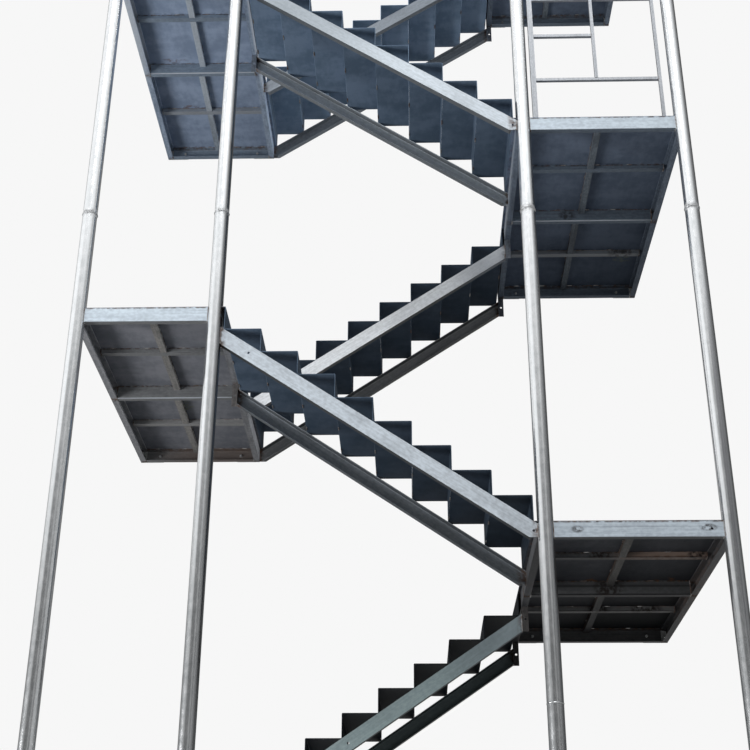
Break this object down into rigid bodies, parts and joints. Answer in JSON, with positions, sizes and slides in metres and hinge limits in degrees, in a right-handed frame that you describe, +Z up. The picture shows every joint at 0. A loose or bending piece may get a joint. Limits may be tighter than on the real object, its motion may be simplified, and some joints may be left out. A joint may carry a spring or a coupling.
{
  "type": "fire escape stair tower",
  "caption": "Open outdoor steel stair tower with round posts, channel landings and folded steps that climb back and forth.",
  "frame": {"origin": "centre of the under side of the left outer post's base plate, on the ground", "axes": "+X along the row of posts to the right, +Y to the back, +Z up"},
  "size_m": [4.751, 2.716, 12.7625],
  "materials": {
    "post_zinc": "galvanised steel pipe, worn, with mottled zinc bloom",
    "channel_zinc": "galvanised rolled channel with stains and touches of rust at the welds",
    "rib_zinc": "galvanised tube, dull",
    "plate_zinc": "galvanised plate, dull, with rust at the welds",
    "tube_zinc": "galvanised square tube, bright",
    "deck_paint": "dark steel plate, weld stains below",
    "step_paint": "dark blue grey steel plate, satin"
  },
  "bodies": {
    "root": {"left_outer_post": "post_zinc", "left_inner_post": "post_zinc", "right_inner_post": "post_zinc", "right_outer_post": "post_zinc", "base_plates": "plate_zinc", "landing_1_side_beams": "channel_zinc", "landing_2_side_beams": "channel_zinc", "landing_3_side_beams": "channel_zinc", "landing_4_side_beams": "channel_zinc", "landing_5_side_beams": "channel_zinc", "landing_6_side_beams": "channel_zinc", "landing_7_side_beams": "channel_zinc", "landing_1_cross_beams": "channel_zinc", "landing_2_cross_beams": "channel_zinc", "landing_3_cross_beams": "channel_zinc", "landing_4_cross_beams": "channel_zinc", "landing_5_cross_beams": "channel_zinc", "landing_6_cross_beams": "channel_zinc", "landing_7_cross_beams": "channel_zinc", "landing_1_deck": "deck_paint", "landing_2_deck": "deck_paint", "landing_3_deck": "deck_paint", "landing_4_deck": "deck_paint", "landing_5_deck": "deck_paint", "landing_6_deck": "deck_paint", "landing_7_deck": "deck_paint", "deck_ribs": "rib_zinc", "flight_1_stringers": "channel_zinc", "flight_2_stringers": "channel_zinc", "flight_3_stringers": "channel_zinc", "flight_4_stringers": "channel_zinc", "flight_5_stringers": "channel_zinc", "flight_6_stringers": "channel_zinc", "flight_7_stringers": "channel_zinc", "flight_1_steps": "step_paint", "flight_2_steps": "step_paint", "flight_3_steps": "step_paint", "flight_4_steps": "step_paint", "flight_5_steps": "step_paint", "flight_6_steps": "step_paint", "flight_7_steps": "step_paint", "stringer_hangers": "plate_zinc", "wall_anchors": "plate_zinc", "landing_5_railing": "tube_zinc", "landing_7_railing": "tube_zinc"}
  },
  "joints": []
}
